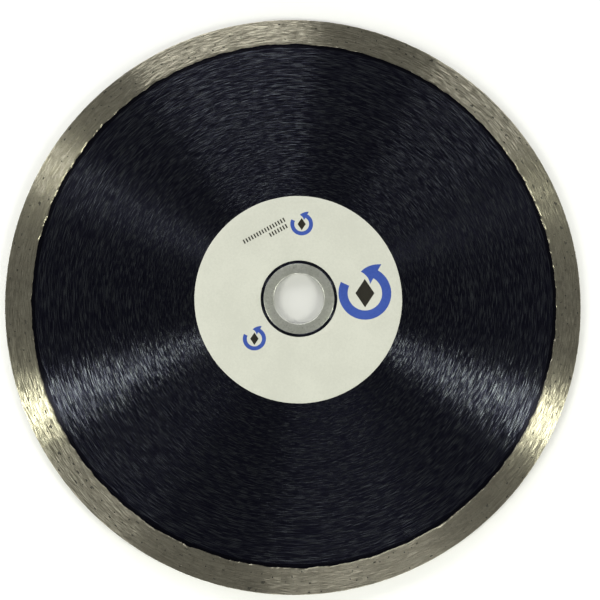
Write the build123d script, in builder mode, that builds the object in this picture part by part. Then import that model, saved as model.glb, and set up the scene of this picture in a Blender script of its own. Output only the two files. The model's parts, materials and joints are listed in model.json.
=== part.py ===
from build123d import *

import math
import os

# A continuous-rim diamond blade for a wet tile saw: a punched steel core, a sintered diamond rim
# keyed round its edge, the exposed diamond grains in that rim, a reducer bushing in the arbor hole
# and a paper label on one face.
# The origin is the centre of the spindle bore, half way through the blade. +Z is the spin axis and
# points out of the labelled face. Lengths are millimetres and angles are degrees.

# Blade
BLADE_RADIUS = 180.0 / 2
RIM_DEPTH = 8.0  # radial depth of the bare metal ring that shows on each face
RIM_THICKNESS = 2.2  # the kerf
CORE_THICKNESS = 1.6  # as punched, which is left only beside the rim
GRIND_DEPTH = 0.03  # taken off each face by the circular grinding
GRIND_MARGIN = 1.0  # the grinding stops this far short of the rim, which stands proud of the core
ARBOR_RADIUS = 22.23 / 2  # 7/8 in hole in the core
SPINDLE_RADIUS = 15.875 / 2  # 5/8 in bore of the bushing

# Keyed joint between core and rim
TONGUE_DEPTH = 2.5  # how far the core's edge runs into the rim
NOTCH_COUNT = 36
NOTCH_ROOT_WIDTH = 4.0
NOTCH_DEPTH = 1.8
NOTCH_SIDE_ANGLE = 75.0
NOTCH_OVERRUN = 0.3  # the notch cutter passes the core's edge by this much

# Sintered rim
GRAIN_EXPOSURE = 0.1  # how far the edge grains stand out of the bond
RIM_CORNER = 0.2  # chamfer on the two cutting corners
RIM_SHOULDER = 0.12  # chamfer where the rim steps down to the core

# Diamond grains, each a flat-topped double pyramid about 0.45 mm across
GRAIN_RADIUS = 0.24
GRAIN_HALF_HEIGHT = 0.17
GRAIN_SIDES = 4
GRAIN_TAPER = 28.0
EDGE_GRAINS = 72
FACE_GRAINS = 36  # on each face
GOLDEN_ANGLE = 137.508
GOLDEN_RATIO = 0.618034
ROOT_TWO = math.sqrt(2)
EDGE_GRAIN_TILT = 10.0
GRAIN_MARGIN = 0.45  # bond left between a face grain and the edge of its band

# Reducer bushing
BUSHING_THICKNESS = 1.4
BUSHING_CLEARANCE = 0.02  # radial
BUSHING_CHAMFER = 0.2

# Label
LABEL_RADIUS = 65.0 / 2
LABEL_HOLE_RADIUS = 24.0 / 2
LABEL_THICKNESS = 0.12

EDGE_BREAK = 0.15  # chamfer on both mouths of the arbor hole

rim_inner_radius = BLADE_RADIUS - RIM_DEPTH
bond_radius = BLADE_RADIUS - GRAIN_EXPOSURE
ground_radius = rim_inner_radius - GRIND_MARGIN
ground_height = CORE_THICKNESS / 2 - GRIND_DEPTH
tongue_radius = rim_inner_radius + TONGUE_DEPTH
notch_length = NOTCH_DEPTH + NOTCH_OVERRUN
notch_centre_radius = tongue_radius - NOTCH_DEPTH + notch_length / 2


def share(index, step):
    """A fraction from 0 to 1 that spreads evenly as index counts up."""
    return index * step % 1.0


def edge_grain_planes():
    """Where the grains of the cutting edge lie, each looking out along its own radius."""
    radius = BLADE_RADIUS - GRAIN_HALF_HEIGHT
    half_band = RIM_THICKNESS / 2 - RIM_CORNER - GRAIN_RADIUS
    planes = []
    for i in range(EDGE_GRAINS):
        angle = math.radians(i * GOLDEN_ANGLE)
        outward = Vector(math.cos(angle), math.sin(angle), 0)
        height = (2 * share(i, ROOT_TWO) - 1) * half_band
        tilt = (2 * share(i, GOLDEN_RATIO) - 1) * EDGE_GRAIN_TILT
        seat = Plane(outward * radius + Vector(0, 0, height), x_dir=(0, 0, 1), z_dir=outward)
        planes.append(seat.rotated((tilt, 0, i * GOLDEN_ANGLE)))
    return planes


def face_grain_planes(side):
    """Where the grains of one face lie, ground flush with it; side is 1 for the front, -1 for the back."""
    band_start = tongue_radius + GRAIN_MARGIN
    band_width = bond_radius - RIM_CORNER - GRAIN_MARGIN - band_start
    height = side * (RIM_THICKNESS / 2 - GRAIN_HALF_HEIGHT)
    planes = []
    for i in range(FACE_GRAINS):
        angle = math.radians(side * (i + 0.5) * GOLDEN_ANGLE)
        radius = band_start + share(i, ROOT_TWO) * band_width
        seat = Plane((radius * math.cos(angle), radius * math.sin(angle), height))
        planes.append(seat.rotated((0, 0, i * GOLDEN_ANGLE)))
    return planes


# Outline of the core: a disc whose edge is cut by dovetail notches, wider at the root than at the mouth
with BuildSketch() as core_outline:
    Circle(tongue_radius)
    with PolarLocations(notch_centre_radius, NOTCH_COUNT):
        Trapezoid(NOTCH_ROOT_WIDTH, notch_length, NOTCH_SIDE_ANGLE, rotation=-90, mode=Mode.SUBTRACT)

with BuildPart() as core_disc:
    extrude(core_outline.sketch, amount=CORE_THICKNESS / 2, both=True)
    with BuildSketch(Plane.XY.offset(CORE_THICKNESS / 2), Plane.XY.offset(-CORE_THICKNESS / 2)):
        Circle(ground_radius)
    extrude(amount=GRIND_DEPTH, both=True, mode=Mode.SUBTRACT)
    Hole(ARBOR_RADIUS)
    arbor_mouths = core_disc.edges().filter_by(GeomType.CIRCLE).group_by(SortBy.RADIUS)[0]
    chamfer(arbor_mouths, EDGE_BREAK)
core_disc.part.label = "core_disc"

with BuildPart() as grain:
    with BuildSketch():
        RegularPolygon(GRAIN_RADIUS, GRAIN_SIDES)
    extrude(amount=GRAIN_HALF_HEIGHT, taper=GRAIN_TAPER, both=True)

with BuildPart() as diamond_grains:
    with Locations(*edge_grain_planes(), *face_grain_planes(1), *face_grain_planes(-1)):
        add(grain.part)
diamond_grains.part.label = "diamond_grains"

# The rim is pressed and sintered round the core's edge, so it is the ring less the core and the grains
with BuildPart() as diamond_rim:
    with BuildSketch(Plane.XZ) as rim_section:
        with Locations(((rim_inner_radius + bond_radius) / 2, 0)):
            Rectangle(bond_radius - rim_inner_radius, RIM_THICKNESS)
        corners = rim_section.vertices().group_by(Axis.X)
        chamfer(corners[-1], RIM_CORNER)
        chamfer(corners[0], RIM_SHOULDER)
    revolve(axis=Axis.Z)
    extrude(core_outline.sketch, amount=CORE_THICKNESS / 2, both=True, mode=Mode.SUBTRACT)
    add(diamond_grains.part, mode=Mode.SUBTRACT)
diamond_rim.part.label = "diamond_rim"

with BuildPart() as reducer_bushing:
    with BuildSketch():
        Circle(ARBOR_RADIUS - BUSHING_CLEARANCE)
        Circle(SPINDLE_RADIUS, mode=Mode.SUBTRACT)
    extrude(amount=BUSHING_THICKNESS / 2, both=True)
    chamfer(reducer_bushing.edges().filter_by(GeomType.CIRCLE), BUSHING_CHAMFER)
reducer_bushing.part.label = "reducer_bushing"

with BuildPart() as face_label:
    with BuildSketch(Plane.XY.offset(ground_height)):
        Circle(LABEL_RADIUS)
        Circle(LABEL_HOLE_RADIUS, mode=Mode.SUBTRACT)
    extrude(amount=LABEL_THICKNESS)
face_label.part.label = "face_label"

os.makedirs("parts", exist_ok=True)
for piece in (core_disc, diamond_rim, diamond_grains, reducer_bushing, face_label):
    export_step(piece.part, f"parts/{piece.part.label}.step")
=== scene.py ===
"""Looks of the diamond blade: brushed core, sintered rim and its grit, bushing and label."""

import json
import math
import random

import bmesh
import bpy
from mathutils import Matrix, Vector, noise


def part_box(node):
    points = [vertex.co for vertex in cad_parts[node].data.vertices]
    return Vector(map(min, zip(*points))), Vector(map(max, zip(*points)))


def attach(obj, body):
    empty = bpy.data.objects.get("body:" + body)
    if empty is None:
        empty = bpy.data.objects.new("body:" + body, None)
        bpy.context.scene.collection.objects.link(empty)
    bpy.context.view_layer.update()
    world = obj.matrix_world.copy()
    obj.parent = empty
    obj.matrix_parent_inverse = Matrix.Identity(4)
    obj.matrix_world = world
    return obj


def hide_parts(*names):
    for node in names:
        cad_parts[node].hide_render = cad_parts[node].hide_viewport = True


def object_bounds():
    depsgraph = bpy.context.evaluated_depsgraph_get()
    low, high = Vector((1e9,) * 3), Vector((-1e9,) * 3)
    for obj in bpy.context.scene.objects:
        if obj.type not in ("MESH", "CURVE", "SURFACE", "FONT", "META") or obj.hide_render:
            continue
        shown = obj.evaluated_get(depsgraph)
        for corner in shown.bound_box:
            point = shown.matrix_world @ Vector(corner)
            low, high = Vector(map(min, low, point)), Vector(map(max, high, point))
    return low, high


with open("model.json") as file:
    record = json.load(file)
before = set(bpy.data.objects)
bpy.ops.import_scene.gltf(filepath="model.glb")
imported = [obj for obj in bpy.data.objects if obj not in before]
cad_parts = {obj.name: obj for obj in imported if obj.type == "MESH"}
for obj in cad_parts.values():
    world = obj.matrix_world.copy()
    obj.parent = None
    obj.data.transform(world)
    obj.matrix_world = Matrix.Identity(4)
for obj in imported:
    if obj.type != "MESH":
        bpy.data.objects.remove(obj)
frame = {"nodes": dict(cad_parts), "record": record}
cad_low, cad_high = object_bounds()

MM = 0.001
TAU = 2 * math.pi
rng = random.Random(7)

# ---------------------------------------------------------------- sizes, from the CAD nodes
rim_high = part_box("diamond_rim")[1]
core_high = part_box("core_disc")[1]
label_low, label_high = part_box("face_label")
bush_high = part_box("reducer_bushing")[1]
spindle = next(m for m in frame["record"]["mounts"] if m["name"] == "spindle_bore")

BOND_R = rim_high.x
HALF_RIM = rim_high.z
TONGUE_R = core_high.x
HALF_CORE = core_high.z
RIM_INNER_R = 82.0 * MM
GROUND_R = RIM_INNER_R - 1.0 * MM
LABEL_R = label_high.x
LABEL_HOLE_R = 12.0 * MM
LABEL_Z = label_low.z
LABEL_TOP = label_high.z
BUSH_R = bush_high.x
BUSH_TOP = bush_high.z
BORE_R = spindle["dims"]["r_mm"] * MM

# ---------------------------------------------------------------- colours, linear
PAINT = (0.011, 0.011, 0.024, 1)
PAINT_WORN = (0.014, 0.014, 0.029, 1)
PAINT_UNGROUND = (0.007, 0.007, 0.013, 1)  # the band beside the rim
SCRATCH = (0.046, 0.051, 0.058, 1)
BOND = (0.300, 0.280, 0.212, 1)
BOND_STREAK = (0.350, 0.330, 0.255, 1)
BOND_PATCH = (0.23, 0.215, 0.168, 1)
BOND_SPECK = (0.08, 0.076, 0.066, 1)
# painted shade: the colour of the pit floors, near black
PIT_PAINTED_SHADE = (0.02, 0.019, 0.016, 1)
GRIT_DARK = (0.16, 0.15, 0.11, 1)
GRIT_PALE = (0.44, 0.42, 0.33, 1)
STEEL = (0.66, 0.67, 0.61, 1)
STEEL_STAIN = (0.44, 0.45, 0.40, 1)
STEEL_NICK = (0.16, 0.16, 0.14, 1)
LABEL_PALE = (0.600, 0.605, 0.535, 1)
LABEL_SHADE = (0.545, 0.550, 0.485, 1)
BLUE_PALE = (0.045, 0.090, 0.370, 1)
BLUE_SHADE = (0.035, 0.070, 0.310, 1)
BLACK_PALE = (0.022, 0.020, 0.014, 1)
BLACK_SHADE = (0.014, 0.013, 0.010, 1)
FLOOR_SHADE = (0.93, 0.93, 0.93, 1)
FLOOR_PALE = (0.96, 0.96, 0.96, 1)
# painted shadow: the floor colour under the blade, seen through the bore
FLOOR_PAINTED_SHADOW = (0.66, 0.66, 0.645, 1)

SWIRL_R = 60.0  # mm, the radius where the lengths given to swirl() are true
SWIRL_SHIFT = 3.0  # moves the pattern with height, so that no two faces are alike
ACROSS_MARKS = 0.25  # of a turn: stretches the highlights across the brush marks


# ---------------------------------------------------------------- node helpers
class Nodes:
    """A material's node tree, with one short call for each kind of node used here."""

    def __init__(self, name):
        self.mat = bpy.data.materials.new(name)
        self.mat.use_nodes = True
        self.tree = self.mat.node_tree
        self.shader = self.tree.nodes["Principled BSDF"]

    def put(self, socket, value):
        if isinstance(value, bpy.types.NodeSocket):
            self.tree.links.new(value, socket)
        else:
            socket.default_value = value

    def set(self, **inputs):
        for name, value in inputs.items():
            self.put(self.shader.inputs[name.replace("_", " ")], value)

    def math(self, op, a, b=0.0, clamp=False):
        node = self.tree.nodes.new("ShaderNodeMath")
        node.operation = op
        node.use_clamp = clamp
        self.put(node.inputs[0], a)
        self.put(node.inputs[1], b)
        return node.outputs[0]

    def split(self, vector):
        node = self.tree.nodes.new("ShaderNodeSeparateXYZ")
        self.put(node.inputs[0], vector)
        return node.outputs

    def join(self, x, y, z):
        node = self.tree.nodes.new("ShaderNodeCombineXYZ")
        for socket, value in zip(node.inputs, (x, y, z)):
            self.put(socket, value)
        return node.outputs[0]

    def place(self):
        """Object coordinates, in metres."""
        return self.tree.nodes.new("ShaderNodeTexCoord").outputs["Object"]

    def radius(self):
        x, y, _ = self.split(self.place())
        square = self.math("ADD", self.math("MULTIPLY", x, x), self.math("MULTIPLY", y, y))
        return self.math("SQRT", square)

    def swirl(self, around, across):
        """Coordinates round the spin axis: a unit is around mm of arc and across mm of radius."""
        x, y, z = self.split(self.place())
        r = self.math("MAXIMUM", self.radius(), 1.0 * MM)
        k = SWIRL_R / around
        c = self.math("MULTIPLY", self.math("DIVIDE", x, r), k)
        s = self.math("MULTIPLY", self.math("DIVIDE", y, r), k)
        reach = self.math("ADD", r, self.math("MULTIPLY", z, SWIRL_SHIFT))
        return self.join(c, s, self.math("MULTIPLY", reach, 1000.0 / across))

    def noise(self, vector, scale=1.0, detail=2.0, rough=0.5):
        node = self.tree.nodes.new("ShaderNodeTexNoise")
        self.put(node.inputs["Vector"], vector)
        node.inputs["Scale"].default_value = scale
        node.inputs["Detail"].default_value = detail
        node.inputs["Roughness"].default_value = rough
        return node.outputs["Fac"]

    def ramp(self, factor, low, high, out_low=0.0, out_high=1.0):
        """factor from low..high to out_low..out_high, smoothly, held at the ends."""
        node = self.tree.nodes.new("ShaderNodeMapRange")
        node.interpolation_type = "SMOOTHSTEP"
        self.put(node.inputs["Value"], factor)
        names = ("From Min", "From Max", "To Min", "To Max")
        for name, value in zip(names, (low, high, out_low, out_high)):
            self.put(node.inputs[name], value)
        return node.outputs["Result"]

    def mix(self, factor, a, b):
        node = self.tree.nodes.new("ShaderNodeMix")
        node.data_type = "RGBA"
        self.put(node.inputs["Factor"], factor)
        self.put(node.inputs[6], a)
        self.put(node.inputs[7], b)
        return node.outputs[2]

    def attribute(self, name):
        node = self.tree.nodes.new("ShaderNodeAttribute")
        node.attribute_name = name
        return node.outputs["Fac"]

    def bump(self, height, distance, strength):
        node = self.tree.nodes.new("ShaderNodeBump")
        node.inputs["Distance"].default_value = distance
        node.inputs["Strength"].default_value = strength
        self.put(node.inputs["Height"], height)
        return node.outputs["Normal"]

    def vector(self, op, a, b=None):
        node = self.tree.nodes.new("ShaderNodeVectorMath")
        node.operation = op
        self.put(node.inputs[0], a)
        if b is not None:
            self.put(node.inputs["Scale" if op == "SCALE" else 1], b)
        return node.outputs[0]

    def grooved(self, slope, drift=0.0, under=None):
        """The surface normal tipped across the brush marks by slope, and along them by drift."""
        x, y, _ = self.split(self.place())
        along = self.vector("NORMALIZE", self.join(self.math("MULTIPLY", y, -1.0), x, 0.0))
        normal = under or self.tree.nodes.new("ShaderNodeNewGeometry").outputs["Normal"]
        across = self.vector("CROSS_PRODUCT", along, normal)
        tipped = self.vector("ADD", normal, self.vector("SCALE", across, slope))
        tipped = self.vector("ADD", tipped, self.vector("SCALE", along, drift))
        return self.vector("NORMALIZE", tipped)

    def tangent(self):
        """The direction of the brush marks: round the Z axis."""
        node = self.tree.nodes.new("ShaderNodeTangent")
        node.direction_type = "RADIAL"
        node.axis = "Z"
        return node.outputs[0]

    def brushed(self, amount):
        """Highlights stretched across the brush marks, which run round the Z axis."""
        self.set(Anisotropic=amount, Anisotropic_Rotation=ACROSS_MARKS)
        self.set(Tangent=self.tangent())


# ---------------------------------------------------------------- materials
def core_paint():
    m = Nodes("core_paint")
    r = m.radius()
    fine = m.noise(m.swirl(3.4, 0.13), detail=1.0, rough=0.6)
    dash = m.noise(m.swirl(2.8, 0.18), detail=0.0)
    broad = m.noise(m.swirl(7.0, 0.9), detail=2.0)
    ground = m.ramp(r, GROUND_R, GROUND_R - 0.25 * MM)
    marks = m.math("MULTIPLY", m.ramp(dash, 0.55, 0.63), m.ramp(broad, 0.3, 0.7, 0.45, 1.0))
    marks = m.math("ADD", marks, m.ramp(fine, 0.4, 0.7, 0.0, 0.3), clamp=True)
    paint = m.mix(ground, PAINT_UNGROUND, m.mix(broad, PAINT, PAINT_WORN))
    m.set(Base_Color=m.mix(m.math("MULTIPLY", marks, ground), paint, SCRATCH))
    m.set(Metallic=0.88)
    m.set(Roughness=m.ramp(fine, 0.2, 0.8, 0.23, 0.29))
    m.brushed(1.0)
    fine_slope = m.ramp(fine, 0.25, 0.75, -0.15, 0.15)
    dash_slope = m.ramp(dash, 0.3, 0.7, -0.12, 0.12)
    slope = m.math("MULTIPLY", m.math("ADD", fine_slope, dash_slope), ground)
    drift = m.ramp(m.noise(m.swirl(3.0, 0.3)), 0.3, 0.7, -0.03, 0.03)
    m.set(Normal=m.grooved(slope, m.math("MULTIPLY", drift, ground)))
    return m.mat


def rim_bond():
    m = Nodes("rim_bond")
    streak = m.noise(m.swirl(7.0, 0.32), detail=2.0, rough=0.6)
    dash = m.noise(m.swirl(2.4, 0.22), detail=1.0)
    patch = m.noise(m.place(), scale=420.0, detail=4.0, rough=0.65)
    grit = m.noise(m.place(), scale=2600.0, detail=1.0)
    pit = m.ramp(m.attribute("pit"), 0.0, 0.04)
    base = m.mix(m.ramp(streak, 0.3, 0.7), BOND, BOND_STREAK)
    base = m.mix(m.math("MULTIPLY", m.ramp(patch, 0.45, 0.7), 0.6), base, BOND_PATCH)
    base = m.mix(m.math("MULTIPLY", m.ramp(grit, 0.64, 0.74), 0.6), base, BOND_SPECK)
    # painted shade in the pits: their floors are coloured near black; their roughness and metallic
    # also change
    m.set(Base_Color=m.mix(m.math("MULTIPLY", pit, 0.85), base, PIT_PAINTED_SHADE))
    m.set(Metallic=m.math("SUBTRACT", 0.90, m.math("MULTIPLY", pit, 0.75)))
    polish = m.ramp(streak, 0.2, 0.8, 0.29, 0.35)
    m.set(Roughness=m.math("ADD", polish, m.math("MULTIPLY", pit, 0.5)))
    m.brushed(1.0)
    hair = m.noise(m.swirl(2.0, 0.08), detail=0.0)
    streak_slope = m.ramp(streak, 0.25, 0.75, -0.06, 0.06)
    dash_slope = m.ramp(dash, 0.3, 0.7, -0.05, 0.05)
    hair_slope = m.ramp(hair, 0.25, 0.75, -0.40, 0.40)
    slope = m.math("ADD", m.math("ADD", streak_slope, dash_slope), hair_slope)
    drift = m.ramp(m.noise(m.swirl(2.5, 0.4), detail=1.0), 0.3, 0.7, -0.015, 0.015)
    m.set(Normal=m.grooved(slope, drift, under=m.bump(grit, 0.02 * MM, 0.5)))
    return m.mat


def grit_crystal():
    m = Nodes("grit_crystal")
    tone = m.noise(m.place(), scale=900.0, detail=2.0)
    m.set(Base_Color=m.mix(m.ramp(tone, 0.35, 0.65), GRIT_DARK, GRIT_PALE))
    m.set(Roughness=m.ramp(tone, 0.3, 0.7, 0.30, 0.55))
    m.set(IOR=1.9, Metallic=0.5)
    m.set(Normal=m.bump(m.noise(m.place(), scale=6000.0), 0.01 * MM, 0.4))
    return m.mat


def turned_steel():
    m = Nodes("turned_steel")
    lines = m.noise(m.swirl(40.0, 0.12), detail=2.0)
    stain = m.noise(m.place(), scale=350.0, detail=4.0, rough=0.6)
    nick = m.noise(m.place(), scale=1500.0, detail=2.0)
    base = m.mix(m.ramp(stain, 0.40, 0.62), STEEL, STEEL_STAIN)
    m.set(Base_Color=m.mix(m.math("MULTIPLY", m.ramp(nick, 0.62, 0.72), 0.5), base, STEEL_NICK))
    m.set(Metallic=0.8)
    m.set(Roughness=m.ramp(stain, 0.3, 0.7, 0.34, 0.5))
    m.brushed(0.4)
    relief = m.math("ADD", lines, m.math("MULTIPLY", nick, 0.5))
    m.set(Normal=m.bump(relief, 0.01 * MM, 0.5))
    return m.mat


def paper(name, light, dark, rough=0.5):
    m = Nodes(name)
    fibre = m.noise(m.place(), scale=1800.0, detail=3.0, rough=0.6)
    cloud = m.noise(m.place(), scale=70.0, detail=2.0)
    tone = m.math("ADD", m.math("MULTIPLY", fibre, 0.5), m.math("MULTIPLY", cloud, 0.5))
    m.set(Base_Color=m.mix(m.ramp(tone, 0.35, 0.65), dark, light))
    m.set(Roughness=m.ramp(fibre, 0.3, 0.7, rough, rough + 0.12))
    m.set(Specular_IOR_Level=0.3)
    m.set(Normal=m.bump(fibre, 0.012 * MM, 0.5))
    return m.mat


# ---------------------------------------------------------------- mesh helpers
def piece(name, bm, material, smooth=True):
    """An object made from bm. With smooth=None the faces keep their own shading."""
    bmesh.ops.recalc_face_normals(bm, faces=bm.faces)
    mesh = bpy.data.meshes.new(name)
    bm.to_mesh(mesh)
    bm.free()
    if smooth is not None:
        for polygon in mesh.polygons:
            polygon.use_smooth = smooth
    obj = bpy.data.objects.new(name, mesh)
    bpy.context.scene.collection.objects.link(obj)
    mesh.materials.append(material)
    return obj


def lathe(profile, segments, move):
    """A bmesh swept round Z from a closed (r, z) profile, and its faces.

    move(r, z, angle) returns each vertex's own r, z and angle.
    """
    bm = bmesh.new()
    rings = []
    for r, z in profile:
        ring = []
        for i in range(segments):
            angle = TAU * i / segments
            own_r, own_z, own_a = move(r, z, angle)
            ring.append(bm.verts.new((own_r * math.cos(own_a), own_r * math.sin(own_a), own_z)))
        rings.append(ring)
    faces = []
    for row, ring in enumerate(rings):
        following = rings[(row + 1) % len(rings)]
        for i in range(segments):
            j = (i + 1) % segments
            faces.append(bm.faces.new((ring[i], following[i], following[j], ring[j])))
    return bm, faces


def wave(angle, turns, seed, z=0.0):
    """Noise round the circle, from -1 to 1, with no seam; turns is how many humps fit round it."""
    k = turns / TAU
    return noise.noise(Vector((k * math.cos(angle), k * math.sin(angle), seed + z)))


# ---------------------------------------------------------------- rim
RIM_SEGMENTS = 1440
FACE_ROWS = 20
EDGE_ROWS = 6
SHOULDER_SHARE = 0.03  # of the rim's depth: the sloping border beside the core
EDGE_SHARE = 0.80  # of the half thickness: the straight part of the cutting edge

face_start = RIM_INNER_R + 0.40 * MM
face_end = BOND_R - 0.25 * MM
face_radii = [face_start + (face_end - face_start) * i / (FACE_ROWS - 1) for i in range(FACE_ROWS)]
edge_heights = [
    HALF_RIM * (EDGE_SHARE - 2 * EDGE_SHARE * i / (EDGE_ROWS - 1)) for i in range(EDGE_ROWS)
]
shoulder = [
    (RIM_INNER_R - 0.02 * MM, HALF_CORE - 0.005 * MM),
    (RIM_INNER_R + 0.06 * MM, HALF_CORE + 0.14 * MM),
    (RIM_INNER_R + 0.18 * MM, HALF_RIM - 0.05 * MM),
]
corner = [
    (BOND_R - 0.12 * MM, HALF_RIM - 0.035 * MM),
    (BOND_R - 0.03 * MM, HALF_RIM - 0.12 * MM),
]
half = shoulder + [(r, HALF_RIM) for r in face_radii] + corner
rim_profile = half + [(BOND_R, z) for z in edge_heights] + [(r, -z) for r, z in reversed(half)]
rim_profile += [(TONGUE_R, -HALF_CORE), (TONGUE_R, HALF_CORE)]
FRONT_FIRST = len(shoulder)
FRONT_LAST = FRONT_FIRST + FACE_ROWS - 1
BACK_FIRST = len(half) + EDGE_ROWS + len(corner)
BACK_LAST = BACK_FIRST + FACE_ROWS - 1


def rim_move(r, z, angle):
    """Ragged on the shoulder, faintly ridged on the faces and chipped at the edge."""
    side = 1 if z > 0 else -1
    share = (r - RIM_INNER_R) / (BOND_R - RIM_INNER_R)
    if abs(z) >= HALF_CORE - 0.01 * MM and r < TONGUE_R and share < SHOULDER_SHARE:
        ragged = wave(angle, 130, 3 + side) * 0.40
        ragged += wave(angle, 420, 9 + side) * 0.16
        ragged += wave(angle, 1500, 5 + side) * 0.05
        return r + ragged * MM, z, angle
    if abs(z) > HALF_RIM - 0.001 * MM:
        ridge = wave(angle, 80, 20 + side, r * 2600) * 0.004
        ridge += wave(angle, 40, 40 + side, r * 900) * 0.008
        jitter = noise.noise(Vector((r * 9000, angle * 2000, side * 5.0)))
        return r + jitter * 0.05 * MM, z + side * (ridge - 0.010) * MM, angle + jitter * 0.0006
    if r > BOND_R - 0.2 * MM:
        chip = wave(angle, 1500, 60, z * 2500) * 0.06 + wave(angle, 300, 70, z * 800) * 0.04
        return r + (chip - 0.03) * MM, z, angle
    return r, z, angle


bm, faces = lathe(rim_profile, RIM_SEGMENTS, rim_move)

# pits where grains have broken out: one to five cells of the grid, sunk between steep walls
FACE_PIT_TRIES = 230  # on each face
EDGE_PIT_TRIES = 260
PIT_WALL = 0.06 * MM  # how far in from the mouth the floor starts
PIT_DEPTHS = (0.06, 0.14)  # mm
PIT_SHAKE = 0.045 * MM  # how far the corners of the floor wander

taken = set()
groups = []


def claim(cells, halo):
    """Adds a pit of these (row, segment) cells, unless an earlier pit is in its halo."""
    if halo & taken:
        return
    taken.update(halo)
    groups.append([faces[row * RIM_SEGMENTS + i % RIM_SEGMENTS] for row, i in cells])


def around(row, i, rows, columns):
    """The cells at these offsets from cell (row, i)."""
    return {(row + dr, (i + di) % RIM_SEGMENTS) for dr in rows for di in columns}


def any_direction():
    return Vector((rng.uniform(-1, 1), rng.uniform(-1, 1), rng.uniform(-1, 1)))


for first, last in ((FRONT_FIRST, FRONT_LAST), (BACK_FIRST, BACK_LAST)):
    for _ in range(FACE_PIT_TRIES):
        row = rng.randrange(first + 1, last - 1)
        i = rng.randrange(RIM_SEGMENTS)
        size = rng.random()
        cells = [(row, i)]
        if size > 0.55:
            cells.append((row, i + 1))
        if size > 0.88:
            cells.append((row, i + 2))
        if size > 0.94:
            cells += [(row + 1, i), (row + 1, i + 1)]
        claim(cells, around(row, i, range(-1, 3), range(-1, 4)))
for _ in range(EDGE_PIT_TRIES):
    row = len(half) + rng.randrange(EDGE_ROWS - 1)
    i = rng.randrange(RIM_SEGMENTS)
    claim([(row, i)], around(row, i, range(-1, 2), range(-1, 2)))

pit_layer = bm.verts.layers.float.new("pit")
bm.normal_update()
for face in bm.faces:
    face.smooth = True
sunk = [face for group in groups for face in group]
walls = bmesh.ops.inset_region(bm, faces=sunk, thickness=PIT_WALL, depth=0)
for face in walls["faces"]:
    face.smooth = False
    for edge in face.edges:
        edge.smooth = False
for group in groups:
    depth = rng.uniform(*PIT_DEPTHS) * MM
    normal = group[0].normal.copy()
    for vert in dict.fromkeys(v for face in group for v in face.verts):
        shake = any_direction() * PIT_SHAKE
        vert.co += shake - normal * (depth + shake.dot(normal))
        vert[pit_layer] = 1.0
rim = piece("rim_bond", bm, rim_bond(), smooth=None)
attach(rim, "blade")
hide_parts("diamond_rim")


# ---------------------------------------------------------------- grit
CRYSTAL_RINGS = ((-0.55, 0.45), (0.0, 1.0), (0.55, 0.45))  # height and spread, of its size


def crystal(bm, centre, outward, along, size):
    """A square double pyramid with its tips cut flat, one of them turned outward."""
    across = outward.cross(along).normalized()
    frame_axes = (along.normalized(), across, outward.normalized())
    verts = []
    for height, spread in CRYSTAL_RINGS:
        ring = []
        for k in range(4):
            angle = TAU * (k + 0.5) / 4
            reach = spread * size
            local = (math.cos(angle) * reach, math.sin(angle) * reach, height * size)
            offset = sum((axis * c for axis, c in zip(frame_axes, local)), Vector())
            ring.append(bm.verts.new(centre + offset))
        verts.append(ring)
    for lower, upper in zip(verts, verts[1:]):
        for k in range(4):
            j = (k + 1) % 4
            bm.faces.new((lower[k], lower[j], upper[j], upper[k]))
    bm.faces.new(verts[0][::-1])
    bm.faces.new(verts[-1])


GRAINS = 900
LARGE_EVERY = 21
EDGE_EVERY = 3  # the others are shared between the two faces
PROUD_EVERY = 12
FACE_SINK = 0.53  # of a grain's size: puts its outer flat about level with the face

bm = bmesh.new()
for i in range(GRAINS):
    angle = rng.uniform(0, TAU)
    radial = Vector((math.cos(angle), math.sin(angle), 0))
    size = rng.uniform(0.10, 0.19) * MM * (1.5 if i % LARGE_EVERY == 0 else 1.0)
    spin = any_direction().normalized()
    if i % EDGE_EVERY == 0:
        height = rng.uniform(-0.75, 0.75) * HALF_RIM
        proud = i % PROUD_EVERY == 0
        size = rng.uniform(0.17, 0.24) * MM if proud else size
        centre = radial * (BOND_R + (0.02 if proud else -0.06) * MM) + Vector((0, 0, height))
        outward = (radial + 0.25 * spin).normalized()
    else:
        side = 1 if i % EDGE_EVERY == 1 else -1
        height = side * (HALF_RIM - FACE_SINK * size)
        centre = radial * rng.uniform(face_radii[1], face_radii[-2]) + Vector((0, 0, height))
        outward = (Vector((0, 0, side)) + 0.15 * spin).normalized()
    along = outward.orthogonal().lerp(spin, 0.5)
    crystal(bm, centre, outward, along - outward * along.dot(outward), size)
grit = piece("rim_grit", bm, grit_crystal(), smooth=False)
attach(grit, "blade")
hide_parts("diamond_grains")


# ---------------------------------------------------------------- bushing
def rounded(r_in, r_out, z_top, edge, steps=4):
    """A closed rectangle profile with its corners rounded to edge."""
    corners = ((r_in + edge, z_top - edge, 180), (r_out - edge, z_top - edge, 90))
    corners += ((r_out - edge, -z_top + edge, 0), (r_in + edge, -z_top + edge, -90))
    points = []
    for r, z, start in corners:
        for k in range(steps + 1):
            angle = math.radians(start - 90 * k / steps)
            points.append((r + edge * math.cos(angle), z + edge * math.sin(angle)))
    return points


def bush_move(r, z, angle):
    """Shallow dents in both faces."""
    dent = wave(angle, 90, 90, z * 300) * 0.012 + wave(angle, 400, 95, r * 700) * 0.006
    return r, z - math.copysign(max(dent, 0), z) * MM, angle


HOLE_FACET = 0.015 * MM  # keeps the ring clear of the flat facets of the arbor hole
BUSH_EDGE = 0.2 * MM
RING_SEGMENTS = 360

bm, _ = lathe(rounded(BORE_R, BUSH_R - HOLE_FACET, BUSH_TOP, BUSH_EDGE), RING_SEGMENTS, bush_move)
bushing = piece("bushing_ring", bm, turned_steel())
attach(bushing, "bushing")
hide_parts("reducer_bushing")

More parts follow.
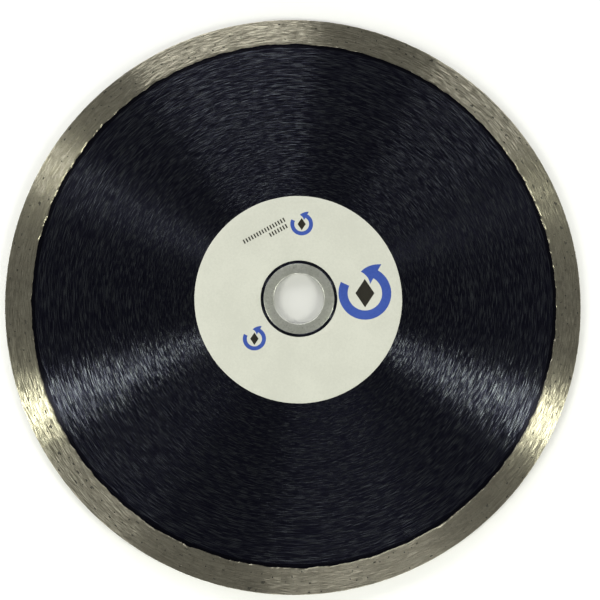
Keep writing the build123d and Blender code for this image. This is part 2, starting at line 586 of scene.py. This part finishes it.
# ---------------------------------------------------------------- label
LABEL_ROWS = 14
LABEL_CORNER = 0.02 * MM  # the cut edges drop this far below the top face
LABEL_MARGIN = 0.05 * MM
LABEL_TRIM = 0.04 * MM  # how far the cut edges wander
TRIM_ZONE = 1.0 * MM


def label_move(r, z, angle):
    """A top face that isn't quite flat, and edges that aren't quite round."""
    lift = 0.0
    if z > LABEL_Z + LABEL_CORNER:
        lift = (wave(angle, 24, 120, r * 200) * 0.008 - 0.008) * MM
    outside = r > LABEL_R - TRIM_ZONE
    inside = r < LABEL_HOLE_R + TRIM_ZONE
    trim = wave(angle, 30, 130) * LABEL_TRIM if outside or inside else 0
    return r + trim - (LABEL_TRIM if outside else 0), z + lift, angle


label_width = LABEL_R - LABEL_HOLE_R - 2 * LABEL_MARGIN
label_profile = [(LABEL_HOLE_R, LABEL_Z), (LABEL_HOLE_R + 0.01 * MM, LABEL_TOP - LABEL_CORNER)]
for i in range(LABEL_ROWS + 1):
    label_profile.append((LABEL_HOLE_R + LABEL_MARGIN + label_width * i / LABEL_ROWS, LABEL_TOP))
label_profile += [(LABEL_R - 0.01 * MM, LABEL_TOP - LABEL_CORNER), (LABEL_R, LABEL_Z)]
bm, _ = lathe(label_profile, RING_SEGMENTS, label_move)
label = piece("label_paper", bm, paper("label_paper", LABEL_PALE, LABEL_SHADE))
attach(label, "blade")
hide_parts("face_label")

blue_ink = paper("ink_blue", BLUE_PALE, BLUE_SHADE, 0.4)
dark_ink = paper("ink_dark", BLACK_PALE, BLACK_SHADE, 0.4)

PRINT_LOW = LABEL_TOP - 0.03 * MM
PRINT_HIGH = LABEL_TOP + 0.006 * MM


def printed(name, strips, ink):
    """Flat shapes a hair thick on the label. A strip is rungs of two (x, y) points, in mm."""
    bm = bmesh.new()
    for strip in strips:
        rungs = []
        for a, b in strip:
            ends = ((a, PRINT_LOW), (b, PRINT_LOW), (b, PRINT_HIGH), (a, PRINT_HIGH))
            rungs.append([bm.verts.new((x * MM, y * MM, z)) for (x, y), z in ends])
        bm.faces.new(rungs[0])
        bm.faces.new(rungs[-1][::-1])
        for one, two in zip(rungs, rungs[1:]):
            for k in range(4):
                j = (k + 1) % 4
                bm.faces.new((one[k], two[k], two[j], one[j]))
    obj = piece(name, bm, ink, smooth=False)
    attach(obj, "blade")


def turned(strip, centre, degrees, scale):
    """The strip scaled, turned and moved to centre."""
    c = scale * math.cos(math.radians(degrees))
    s = scale * math.sin(math.radians(degrees))

    def point(x, y):
        return centre[0] + x * c - y * s, centre[1] + x * s + y * c

    return [[point(x, y) for x, y in rung] for rung in strip]


BAND_STEPS = 32
HEAD_STEPS = 8


def arc_arrow(radius, width, start, end, head):
    """A band round the origin from start to end degrees, then an arrow head of head degrees."""
    rungs = []
    for k in range(BAND_STEPS + 1):
        rungs.append((start + (end - start) * k / BAND_STEPS, width / 2))
    for k in range(HEAD_STEPS + 1):
        spread = width * 1.25 * (1 - k / HEAD_STEPS) + 0.04
        rungs.append((end + head * k / HEAD_STEPS, spread))
    strip = []
    for degrees, reach in rungs:
        a = math.radians(degrees)
        sides = (radius - reach, radius + reach)
        strip.append([(rho * math.cos(a), rho * math.sin(a)) for rho in sides])
    return strip


# all in mm and degrees
TICK_PITCH = 0.95
TICK_WIDTH = 0.42
TICK_HEIGHT = 1.35
TICK_ROWS = ((-8.0, 6.9, 0.2), (0.2, 6.2, -1.9))  # first and last x, and base
TICK_CENTRE = (-9.9, 20.9)
TICK_SLANT = 29.5
MARKS = (((20.7, 1.7), 1.0), ((0.9, 23.5), 0.43), ((-13.9, -12.5), 0.43))  # centre and scale

lozenge = [((-w, y), (w, y)) for y, w in ((-4.4, 0.05), (0, 3.0), (4.4, 0.05))]
blue = []
dark = []
for centre, scale in MARKS:
    blue.append(turned(arc_arrow(6.9, 2.9, -205, 60, 40), centre, 0, scale))
    dark.append(turned(lozenge, centre, 0, scale))
# two rows of equal ticks, where a label carries small print
for first, last, base in TICK_ROWS:
    for k in range(int((last - first) / TICK_PITCH) + 1):
        x = first + k * TICK_PITCH
        tick = [((edge, base), (edge, base + TICK_HEIGHT)) for edge in (x, x + TICK_WIDTH)]
        dark.append(turned(tick, TICK_CENTRE, TICK_SLANT, 1.0))
printed("print_blue", blue, blue_ink)
printed("print_dark", dark, dark_ink)

# ---------------------------------------------------------------- core
core = frame["nodes"]["core_disc"]
core.data.materials.clear()
core.data.materials.append(core_paint())


# ---------------------------------------------------------------- floor, lights, camera
def floor_paper():
    """Pale ground, with a painted shadow, a little greyer, where it is seen through the bore."""
    m = Nodes("floor")
    tone = m.mix(m.noise(m.place(), scale=300.0, detail=3.0), FLOOR_SHADE, FLOOR_PALE)
    # painted shadow: the floor turns greyer inside the bore's radius
    m.set(Base_Color=m.mix(m.ramp(m.radius(), 12 * MM, 10 * MM), tone, FLOOR_PAINTED_SHADOW))
    m.set(Roughness=0.9)
    return m.mat


FLOOR_HALF = 1.5  # metres
bm = bmesh.new()
bmesh.ops.create_grid(bm, x_segments=4, y_segments=4, size=FLOOR_HALF)
bmesh.ops.translate(bm, verts=bm.verts, vec=(0, 0, cad_low.z))
floor = piece("floor", bm, floor_paper())

# a white room with a dark ceiling
ROOM_STRENGTH = 0.48
CEILING = (("From Min", 0.75), ("From Max", 0.90), ("To Min", 1.0), ("To Max", 0.02))
world = bpy.data.worlds.new("studio")
bpy.context.scene.world = world
world.use_nodes = True
sky = world.node_tree
direction = sky.nodes.new("ShaderNodeSeparateXYZ")
sky.links.new(sky.nodes.new("ShaderNodeTexCoord").outputs["Generated"], direction.inputs[0])
room = sky.nodes.new("ShaderNodeMapRange")
room.interpolation_type = "SMOOTHSTEP"
for name, value in CEILING:
    room.inputs[name].default_value = value
sky.links.new(direction.outputs["Z"], room.inputs["Value"])
sky.links.new(room.outputs["Result"], sky.nodes["Background"].inputs["Color"])
sky.nodes["Background"].inputs["Strength"].default_value = ROOM_STRENGTH


def lamp(name, azimuth, zenith, distance, spread, depth, power, colour):
    """An area lamp aimed at the origin, with angles in degrees and lengths in metres.

    spread is its width as an angle round the blade, and depth its height.
    """
    data = bpy.data.lights.new(name, "AREA")
    data.shape = "RECTANGLE"
    a, z = math.radians(azimuth), math.radians(zenith)
    data.size = 2 * distance * math.sin(z) * math.tan(math.radians(spread / 2))
    data.size_y = depth
    data.energy = power
    data.color = colour
    obj = bpy.data.objects.new(name, data)
    place = Vector((math.sin(z) * math.cos(a), math.sin(z) * math.sin(a), math.cos(z)))
    side = Vector((-math.sin(a), math.cos(a), 0))
    up = place.cross(side)
    facing = Matrix((side, up, place)).transposed().to_4x4()
    obj.matrix_world = Matrix.Translation(place * distance) @ facing
    obj.visible_camera = False
    bpy.context.scene.collection.objects.link(obj)


WHITE = (1.0, 1.0, 1.0)
WARM = (1.02, 1.04, 0.90)
lamp("key_left", 200.3, 53, 0.5, 9, 0.17, 0.97, WARM)
lamp("key_right", 338.4, 58, 0.6, 10, 0.20, 1.6, WARM)
lamp("top_wide", 103, 71, 1.2, 36, 0.4, 8.2, WHITE)
lamp("upper_right", 48, 77, 1.2, 24, 0.3, 3.3, WHITE)
lamp("low_left", 222, 70, 1.2, 26, 0.3, 2.5, WHITE)
lamp("low_front", 284, 76, 1.2, 38, 0.3, 4.2, WHITE)
lamp("far_left", 147.5, 75, 1.2, 10, 0.3, 2.6, WHITE)

LENS = 39.0
SENSOR = 36.0
DISTANCE = 203.8 * MM
TILT_X = math.radians(-4.05)
TILT_Y = math.radians(2.81)
SHIFT = Vector((-0.33 * MM, 0.39 * MM, 0))
camera_data = bpy.data.cameras.new("camera")
camera_data.lens = LENS
camera_data.sensor_width = SENSOR
camera_data.clip_start = 0.01
camera_data.clip_end = 10.0
camera = bpy.data.objects.new("camera", camera_data)
tilt = Matrix.Rotation(TILT_Y, 3, "Y") @ Matrix.Rotation(TILT_X, 3, "X")
back = tilt.transposed()
camera.matrix_world = Matrix.Translation(back @ (Vector((0, 0, DISTANCE)) - SHIFT)) @ back.to_4x4()
bpy.context.scene.collection.objects.link(camera)
bpy.context.scene.camera = camera
bpy.context.scene.view_settings.view_transform = "Standard"
bpy.context.scene.view_settings.look = "None"
